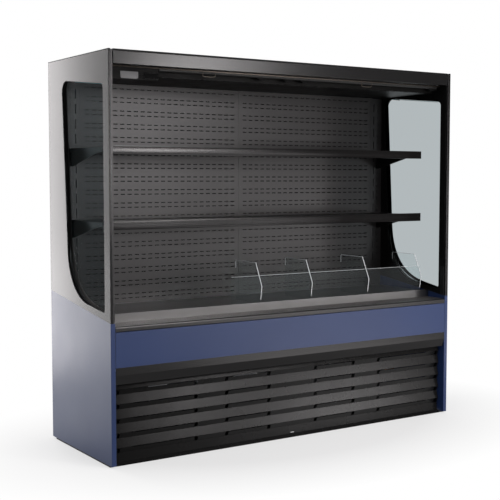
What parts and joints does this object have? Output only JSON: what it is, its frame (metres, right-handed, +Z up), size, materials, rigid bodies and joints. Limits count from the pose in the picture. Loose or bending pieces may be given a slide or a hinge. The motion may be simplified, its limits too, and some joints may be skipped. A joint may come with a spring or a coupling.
{
  "type": "open multideck display fridge",
  "caption": "Open-front refrigerated display case with glazed ends, two cantilever shelves, a steel deck with a clear produce bin, a pull-down night blind and a louvred machine grille.",
  "frame": {"origin": "on the floor, under the middle of the case", "axes": "X runs along the case from left to right as seen from the open front, Y points to the back, Z is up"},
  "size_m": [2.2, 0.73, 2.008],
  "materials": {
    "blue_paint": "satin",
    "dark_paint": "satin",
    "black_sheet": "satin",
    "black_plastic": "satin",
    "galvanised": "satin",
    "tub_liner": "satin",
    "stainless": "satin",
    "bright_trim": "satin",
    "tinted_glass": "gloss",
    "clear_acrylic": "gloss",
    "display": "gloss",
    "pale_plate": "satin",
    "light_cover": "satin",
    "aluminium_fins": "satin",
    "copper": "satin",
    "compressor_black": "gloss",
    "blind_fabric": "satin"
  },
  "bodies": {
    "case": {"back_panels": "black_sheet", "base_frame": "black_sheet", "blind_cassette": "black_plastic", "cable_gland": "black_plastic", "canopy_fascia": "dark_paint", "canopy_light": "light_cover", "canopy_top_cover": "dark_paint", "canopy_underside": "dark_paint", "compressor": "compressor_black", "condensate_pan": "black_plastic", "condenser_coil": "aluminium_fins", "condenser_fan_motor": "galvanised", "condenser_shroud": "black_sheet", "controller_display": "display", "controller_housing": "black_plastic", "controller_plate": "pale_plate", "corner_trims": "black_plastic", "deck_pan_left": "stainless", "deck_pan_right": "stainless", "deck_rail": "stainless", "discharge_honeycomb": "black_plastic", "edge_trims": "bright_trim", "electrical_box": "black_plastic", "end_liners": "black_sheet", "evaporator_coil": "aluminium_fins", "evaporator_fan_motors": "galvanised", "fan_plenum": "black_sheet", "floor_skids": "black_plastic", "front_nosing": "black_plastic", "front_panel": "blue_paint", "left_lower_end_panel": "blue_paint", "left_upper_end_panel": "dark_paint", "levelling_feet": "black_plastic", "lower_shelf": "black_sheet", "lower_shelf_rail": "black_plastic", "lower_valance": "dark_paint", "rear_uprights": "black_sheet", "rear_vent_cover": "galvanised", "rear_wall": "galvanised", "refrigerant_lines": "copper", "return_air_grilles": "galvanised", "right_lower_end_panel": "blue_paint", "right_upper_end_panel": "dark_paint", "roof_panel": "dark_paint", "shelf_brackets": "black_sheet", "side_glass": "tinted_glass", "top_shelf": "black_sheet", "top_shelf_rail": "black_plastic", "tub": "tub_liner"},
    "blind_bar": {"blind_pull_bar": "black_plastic", "blind_cloth": "blind_fabric"},
    "roller": {"blind_roller": "aluminium_fins"},
    "evap_fan_1": {"evaporator_fan_1": "black_plastic"},
    "evap_fan_2": {"evaporator_fan_2": "black_plastic"},
    "evap_fan_3": {"evaporator_fan_3": "black_plastic"},
    "cond_fan": {"condenser_fan": "black_plastic"},
    "rocker": {"light_switch": "black_plastic"},
    "grille": {"lower_grille": "black_sheet"},
    "produce_bin": {"bin_front_panel": "clear_acrylic", "bin_dividers": "clear_acrylic"}
  },
  "joints": [
    {"name": "blind_slide", "type": "slide", "parent": "case", "child": "blind_bar", "axis": [0, 0, -1], "range_m": [0, 1.2], "stiffness_N_per_m": 10, "springref_m": -4, "deforming": ["blind_cloth"]},
    {"name": "blind_roller_turn", "type": "hinge", "parent": "case", "child": "roller", "pos_m": [0, -0.3272, 1.97], "axis": [-1, 0, 0], "range_deg": [0, 3440]},
    {"name": "evaporator_fan_1_spin", "type": "hinge", "parent": "case", "child": "evap_fan_1", "pos_m": [-0.7, -0.066, 0.6095], "axis": [0, 1, 0], "continuous": true},
    {"name": "evaporator_fan_2_spin", "type": "hinge", "parent": "case", "child": "evap_fan_2", "pos_m": [0, -0.066, 0.6095], "axis": [0, 1, 0], "continuous": true},
    {"name": "evaporator_fan_3_spin", "type": "hinge", "parent": "case", "child": "evap_fan_3", "pos_m": [0.7, -0.066, 0.6095], "axis": [0, 1, 0], "continuous": true},
    {"name": "condenser_fan_spin", "type": "hinge", "parent": "case", "child": "cond_fan", "pos_m": [0.48, -0.1557, 0.233], "axis": [0, 1, 0], "continuous": true},
    {"name": "light_switch_rock", "type": "hinge", "parent": "case", "child": "rocker", "pos_m": [-0.891, -0.293, 1.891], "axis": [-1, 0, 0], "range_deg": [0, 14]},
    {"name": "grille_pull_off", "type": "slide", "parent": "case", "child": "grille", "axis": [0, -1, 0], "range_m": [0, 0.3]},
    {"name": "bin_lift", "type": "slide", "parent": "case", "child": "produce_bin", "axis": [0, 0, 1], "range_m": [0, 0.13]}
  ],
  "couplings": [
    {"joint": "blind_roller_turn", "follows": "blind_slide", "rad_per_m": 50}
  ]
}
